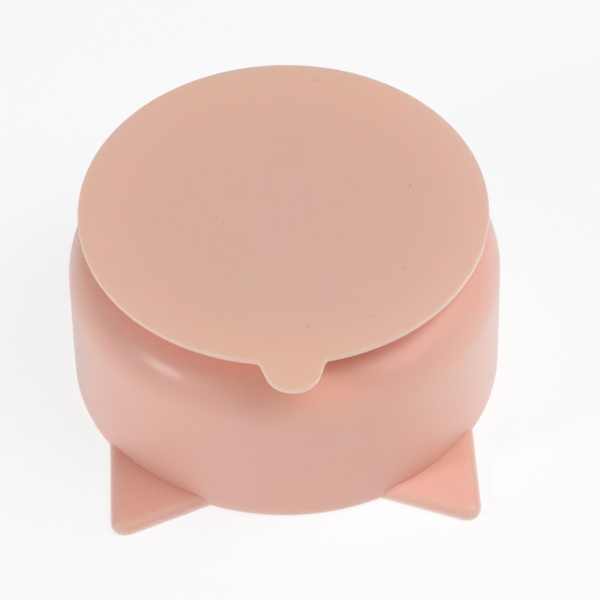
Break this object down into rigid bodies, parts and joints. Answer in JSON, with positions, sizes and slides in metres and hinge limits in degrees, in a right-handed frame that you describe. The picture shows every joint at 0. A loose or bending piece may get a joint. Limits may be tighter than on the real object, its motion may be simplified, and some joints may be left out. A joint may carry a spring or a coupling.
{
  "type": "suction bowl",
  "caption": "Soft silicone feeding bowl with cat-ear flaps on its rim, a thin suction disc under its base and a pull tab that lifts the disc's edge.",
  "frame": {"origin": "centre of the rim circle, on the surface the upturned bowl stands on", "axes": "+Z from the rim to the suction disc, -Y to the pull tab and the ears, X = 0 is the plane of symmetry"},
  "size_m": [0.12, 0.1254, 0.0594],
  "materials": {
    "bowl_silicone": "soft matte",
    "suction_silicone": "soft matte"
  },
  "bodies": {
    "bowl": {"bowl_shell": "bowl_silicone", "ear_left": "bowl_silicone", "ear_right": "bowl_silicone", "neck": "bowl_silicone"},
    "disc": {"suction_disc": "suction_silicone"},
    "tab": {"pull_tab": "suction_silicone"}
  },
  "joints": [
    {"name": "suction_press", "type": "slide", "parent": "bowl", "child": "disc", "axis": [0, 0, -1], "range_m": [0, 0.002], "stiffness_N_per_m": 5000, "deforming": ["neck"]},
    {"name": "pull_tab_lift", "type": "hinge", "parent": "disc", "child": "tab", "pos_m": [0, -0.0566, 0.05875], "axis": [1, 0, 0], "range_deg": [-45, 75], "stiffness_Nm_per_rad": 0.002}
  ]
}
